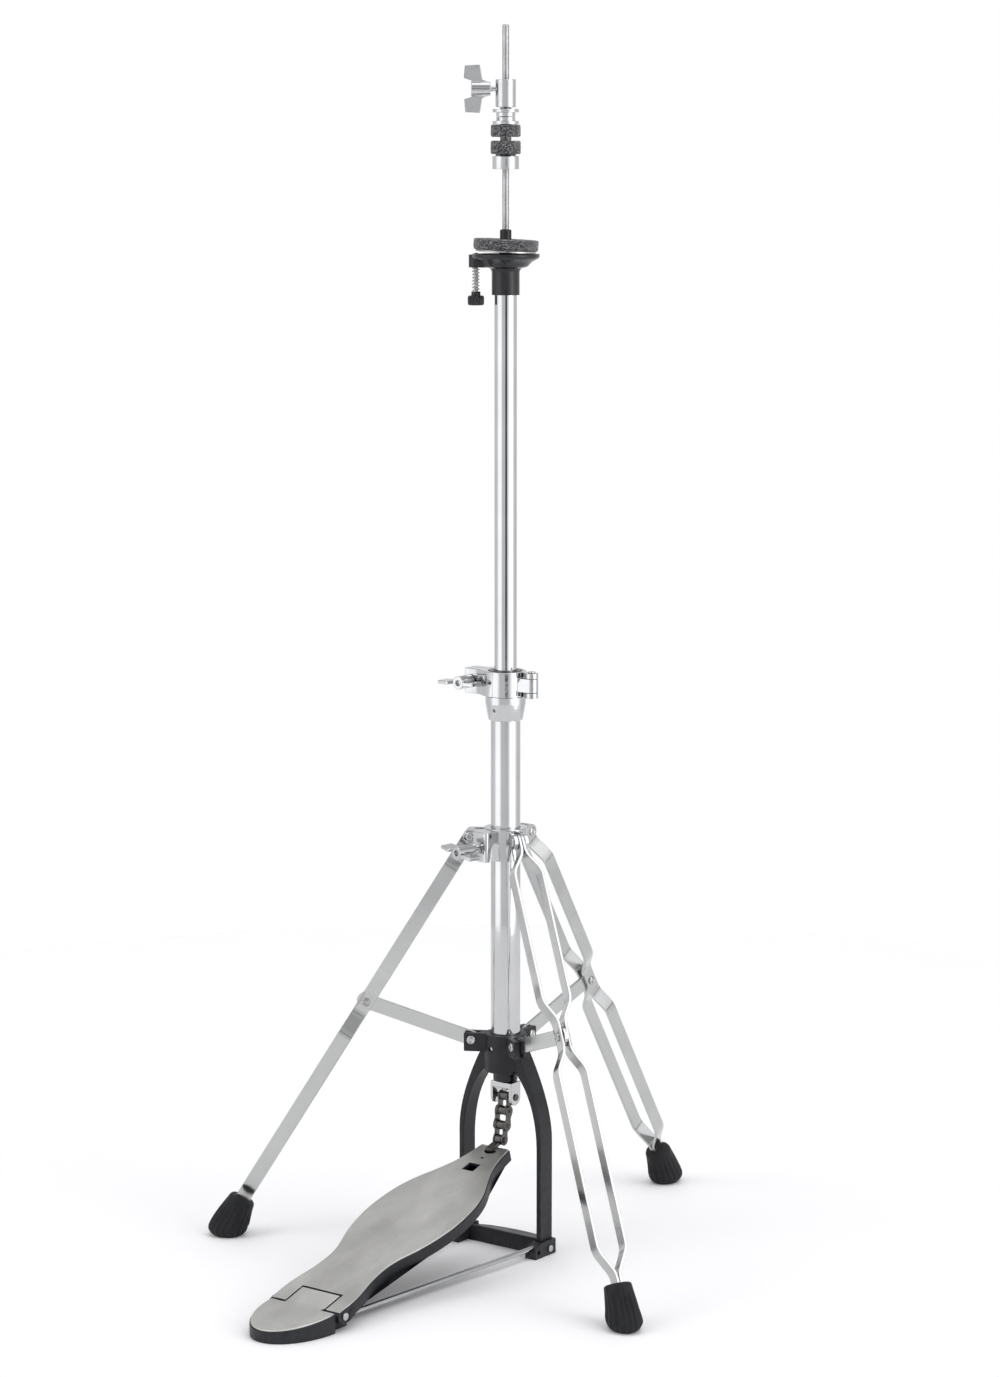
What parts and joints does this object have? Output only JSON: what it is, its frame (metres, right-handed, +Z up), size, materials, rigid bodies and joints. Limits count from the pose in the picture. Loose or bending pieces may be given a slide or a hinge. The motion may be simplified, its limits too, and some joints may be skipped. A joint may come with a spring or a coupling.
{
  "type": "hi-hat stand",
  "caption": "Hi-hat cymbal stand with a chain-driven footboard, telescopic tubes, sprung pull rod, clutch, tilting cymbal seat and a folding double-braced tripod.",
  "frame": {"origin": "point on the floor under the tube's axis, in the underside of the pedal's base plate", "axes": "+X to the player's right, -Y along the footboard towards the heel, +Z up along the tubes and the pull rod"},
  "size_m": [0.4592, 0.5868, 1.0406],
  "materials": {
    "black_casting": "satin black paint with a faint casting texture",
    "tube_chrome": "bright chrome plate over drawn steel tube",
    "fitting_chrome": "bright chrome plate over castings",
    "strap_chrome": "chrome plate over flat steel bar",
    "fastener_steel": "bright zinc-plated steel",
    "brushed_plate": "steel plate brushed along its length",
    "rod_steel": "bright steel rod with a knurled upper end",
    "coupler_brass": "plain turned brass",
    "spring_steel": "oiled spring wire",
    "chain_steel": "dark oiled chain steel",
    "black_nylon": "black moulded nylon",
    "felt": "charcoal pressed wool felt",
    "foot_rubber": "black moulded rubber"
  },
  "bodies": {
    "frame": {"arch_frame": "black_casting", "base_plate": "black_casting", "lower_tube": "tube_chrome", "tube_collar": "fitting_chrome", "clamp_body": "fitting_chrome", "tube_bushing": "black_nylon", "rod_bush": "black_nylon", "base_rods": "strap_chrome", "bracket_bolts": "fastener_steel", "heel_plate": "black_casting", "heel_top": "brushed_plate", "hinge_axle": "fastener_steel", "hub_pins": "fastener_steel", "small_screws": "fastener_steel", "clamp_bolt": "fastener_steel", "clamp_hinge_pin": "fastener_steel"},
    "footboard": {"footboard": "black_casting", "footboard_plate": "brushed_plate", "toe_hook": "chain_steel"},
    "pull_rod": {"upper_rod": "rod_steel", "lower_rod": "rod_steel", "rod_coupler": "coupler_brass", "rod_clevis": "fitting_chrome", "clevis_pin": "chain_steel", "spring_collar": "spring_steel", "return_spring": "spring_steel"},
    "chain": {"chain_inner_plates": "chain_steel", "chain_outer_plates": "chain_steel", "chain_pins": "chain_steel", "chain_rollers": "chain_steel"},
    "upper_tube": {"upper_tube": "tube_chrome", "seat_cup": "black_nylon", "tilt_spring": "spring_steel"},
    "seat": {"seat_washer": "fastener_steel", "seat_felt": "felt"},
    "tilt_screw": {"tilt_screw": "fastener_steel", "tilt_knob": "black_nylon"},
    "clutch": {"clutch_body": "fitting_chrome", "clutch_tube": "fitting_chrome", "clutch_felt_upper": "felt", "clutch_felt_lower": "felt", "clutch_washer": "black_nylon"},
    "clutch_screw": {"clutch_wing_screw": "fitting_chrome"},
    "jam_nut_upper": {"jam_nut_upper": "fitting_chrome"},
    "jam_nut_lower": {"jam_nut_lower": "fitting_chrome"},
    "clutch_nut": {"clutch_nut": "fitting_chrome"},
    "clamp_jaw": {"clamp_jaw": "fitting_chrome"},
    "clamp_wing_nut": {"clamp_wing_nut": "fitting_chrome"},
    "leg_collar": {"leg_collar": "fitting_chrome", "leg_pivot_pins": "fastener_steel"},
    "collar_screw": {"collar_wing_screw": "fitting_chrome"},
    "leg_left": {"leg_left": "strap_chrome", "foot_left": "foot_rubber"},
    "leg_right": {"leg_right": "strap_chrome", "foot_right": "foot_rubber"},
    "leg_rear": {"leg_rear": "strap_chrome", "foot_rear": "foot_rubber"},
    "stretcher_left": {"stretcher_left": "strap_chrome"},
    "stretcher_right": {"stretcher_right": "strap_chrome"},
    "stretcher_rear": {"stretcher_rear": "strap_chrome"}
  },
  "joints": [
    {"name": "footboard_hinge", "type": "hinge", "parent": "frame", "child": "footboard", "pos_m": [0, -0.263, 0.013], "axis": [1, 0, 0], "range_deg": [-9, 0]},
    {"name": "pull_rod_slide", "type": "slide", "parent": "frame", "child": "pull_rod", "axis": [0, 0, 1], "range_m": [-0.0402, 0], "stiffness_N_per_m": 700, "springref_m": 0.045, "deforming": ["return_spring"]},
    {"name": "chain_swing", "type": "hinge", "parent": "pull_rod", "child": "chain", "pos_m": [0, 0, 0.13315], "axis": [1, 0, 0], "range_deg": [-0.5, 16]},
    {"name": "height_slide", "type": "slide", "parent": "frame", "child": "upper_tube", "axis": [0, 0, 1], "range_m": [-0.15, 0.03]},
    {"name": "tilt_screw_turn", "type": "hinge", "parent": "upper_tube", "child": "tilt_screw", "pos_m": [-0.02165, -0.0125, 0.816], "axis": [0, 0, 1], "range_deg": [-520, 940]},
    {"name": "seat_tilt_hinge", "type": "hinge", "parent": "upper_tube", "child": "seat", "pos_m": [0.02165, 0.0125, 0.853], "axis": [-0.5, 0.866, 0], "range_deg": [-1.6, 2.9]},
    {"name": "clutch_slide", "type": "slide", "parent": "pull_rod", "child": "clutch", "axis": [0, 0, 1], "range_m": [-0.035, 0.04]},
    {"name": "clutch_screw_turn", "type": "hinge", "parent": "clutch", "child": "clutch_screw", "pos_m": [-0.00686, -0.00519, 0.988], "axis": [-0.7976, -0.6032, 0], "continuous": true},
    {"name": "jam_nut_upper_turn", "type": "hinge", "parent": "clutch", "child": "jam_nut_upper", "pos_m": [0, 0, 0.968], "axis": [0, 0, 1], "continuous": true},
    {"name": "jam_nut_lower_turn", "type": "hinge", "parent": "clutch", "child": "jam_nut_lower", "pos_m": [0, 0, 0.962], "axis": [0, 0, 1], "continuous": true},
    {"name": "clutch_nut_turn", "type": "hinge", "parent": "clutch", "child": "clutch_nut", "pos_m": [0, 0, 0.927], "axis": [0, 0, 1], "continuous": true},
    {"name": "clamp_jaw_hinge", "type": "hinge", "parent": "frame", "child": "clamp_jaw", "pos_m": [0.0275, 0, 0.4923], "axis": [0, 0, 1], "range_deg": [0, 2]},
    {"name": "clamp_nut_turn", "type": "hinge", "parent": "clamp_jaw", "child": "clamp_wing_nut", "pos_m": [-0.031, -0.0092, 0.4923], "axis": [0, -1, 0], "continuous": true},
    {"name": "leg_collar_slide", "type": "slide", "parent": "frame", "child": "leg_collar", "axis": [0, 0, 1], "range_m": [0, 0.05]},
    {"name": "collar_screw_turn", "type": "hinge", "parent": "leg_collar", "child": "collar_screw", "pos_m": [-0.00545, -0.03092, 0.353], "axis": [-0.1736, -0.9848, 0], "continuous": true},
    {"name": "leg_left_pivot", "type": "hinge", "parent": "leg_collar", "child": "leg_left", "pos_m": [-0.02555, -0.01475, 0.3606], "axis": [0.5, -0.866, 0], "range_deg": [0, 8.5]},
    {"name": "stretcher_left_pivot", "type": "hinge", "parent": "frame", "child": "stretcher_left", "pos_m": [-0.02511, -0.0145, 0.183], "axis": [-0.5, 0.866, 0], "range_deg": [0, 27]},
    {"name": "leg_right_pivot", "type": "hinge", "parent": "leg_collar", "child": "leg_right", "pos_m": [0.02555, -0.01475, 0.3606], "axis": [0.5, 0.866, 0], "range_deg": [0, 8.5]},
    {"name": "stretcher_right_pivot", "type": "hinge", "parent": "frame", "child": "stretcher_right", "pos_m": [0.02511, -0.0145, 0.183], "axis": [-0.5, -0.866, 0], "range_deg": [0, 27]},
    {"name": "leg_rear_pivot", "type": "hinge", "parent": "leg_collar", "child": "leg_rear", "pos_m": [0, 0.0295, 0.3606], "axis": [-1, 0, 0], "range_deg": [0, 8.5]},
    {"name": "stretcher_rear_pivot", "type": "hinge", "parent": "frame", "child": "stretcher_rear", "pos_m": [0, 0.029, 0.183], "axis": [1, 0, 0], "range_deg": [0, 27]}
  ],
  "couplings": [
    {"joint": "pull_rod_slide", "follows": "footboard_hinge", "m_per_rad": 0.25434},
    {"joint": "chain_swing", "follows": "footboard_hinge", "ratio": -1.7401},
    {"joint": "tilt_screw_turn", "follows": "seat_tilt_hinge", "ratio": 322.58},
    {"joint": "leg_left_pivot", "follows": "leg_collar_slide", "rad_per_m": 2.802},
    {"joint": "stretcher_left_pivot", "follows": "leg_collar_slide", "rad_per_m": 9.16},
    {"joint": "leg_right_pivot", "follows": "leg_collar_slide", "rad_per_m": 2.802},
    {"joint": "stretcher_right_pivot", "follows": "leg_collar_slide", "rad_per_m": 9.16},
    {"joint": "leg_rear_pivot", "follows": "leg_collar_slide", "rad_per_m": 2.802},
    {"joint": "stretcher_rear_pivot", "follows": "leg_collar_slide", "rad_per_m": 9.16}
  ]
}
